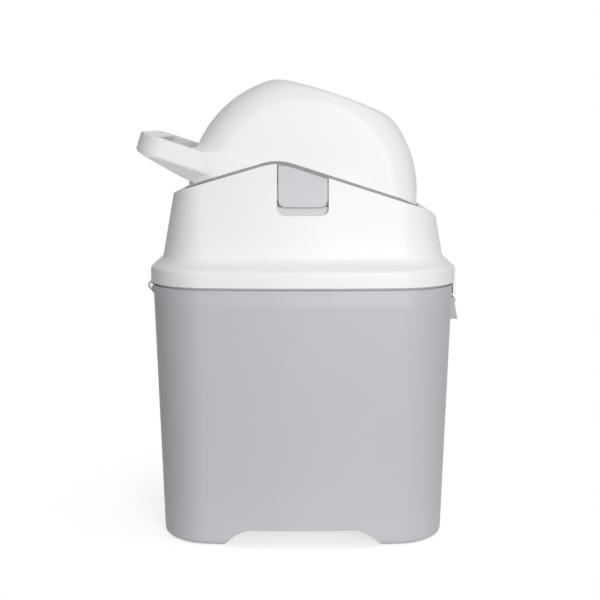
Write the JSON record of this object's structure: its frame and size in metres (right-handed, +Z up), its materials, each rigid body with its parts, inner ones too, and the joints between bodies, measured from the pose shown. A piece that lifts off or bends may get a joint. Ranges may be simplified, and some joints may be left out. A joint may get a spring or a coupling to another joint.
{
  "type": "nappy bin",
  "caption": "Free-standing nappy bin: tapered bucket, hinged lid, and a turn-over drum with a handle, a through tube and a loose piston.",
  "frame": {"origin": "on the floor, on the upright middle line of the bucket", "axes": "+X to the right when the lock button faces the viewer, +Y to the back, +Z up"},
  "size_m": [0.2974, 0.244, 0.4239],
  "materials": {
    "bucket_plastic": "satin",
    "rubber": "matte",
    "white_plastic": "satin",
    "inner_plastic": "matte",
    "seal_rubber": "matte",
    "steel": "satin",
    "button_plastic": "satin",
    "bush_plastic": "matte"
  },
  "bodies": {
    "bucket": {"bucket": "bucket_plastic", "foot_pads": "rubber", "hinge_pin": "steel", "latch_pin": "steel", "latch_spring": "steel"},
    "lid": {"lid_cover": "white_plastic", "lid_liner": "inner_plastic", "lid_gasket": "seal_rubber", "drum_seal": "seal_rubber", "lid_screws": "steel", "lock_guide": "inner_plastic", "pivot_pin_front": "steel", "pivot_pin_rear": "steel"},
    "drum": {"drum_front_shell": "white_plastic", "drum_rear_shell": "white_plastic", "drum_screws": "steel", "drum_tube": "inner_plastic", "mouth_ring_upper": "white_plastic", "mouth_ring_lower": "white_plastic", "pivot_bush_front": "bush_plastic", "pivot_bush_rear": "bush_plastic"},
    "piston": {"piston_upper_cup": "inner_plastic", "piston_lower_cup": "inner_plastic", "piston_seal_upper": "seal_rubber", "piston_seal_lower": "seal_rubber"},
    "lock": {"lock_button": "button_plastic"},
    "latch": {"latch_lever": "bucket_plastic"}
  },
  "joints": [
    {"name": "lid_hinge", "type": "hinge", "parent": "bucket", "child": "lid", "pos_m": [-0.1415, 0, 0.2335], "axis": [0, -1, 0], "range_deg": [0, 95]},
    {"name": "drum_turn", "type": "hinge", "parent": "lid", "child": "drum", "pos_m": [0, 0, 0.3221], "axis": [0, 1, 0], "range_deg": [0, 143.4]},
    {"name": "piston_slide", "type": "slide", "parent": "drum", "child": "piston", "axis": [0.314, 0, 0.9494], "range_m": [0, 0.0939]},
    {"name": "lock_slide", "type": "slide", "parent": "lid", "child": "lock", "axis": [0, -0.165, -0.9863], "range_m": [0, 0.007]},
    {"name": "latch_pull", "type": "hinge", "parent": "bucket", "child": "latch", "pos_m": [0.1416, 0, 0.2185], "axis": [0, -1, 0], "range_deg": [0, 22], "deforming": ["latch_spring"]}
  ]
}
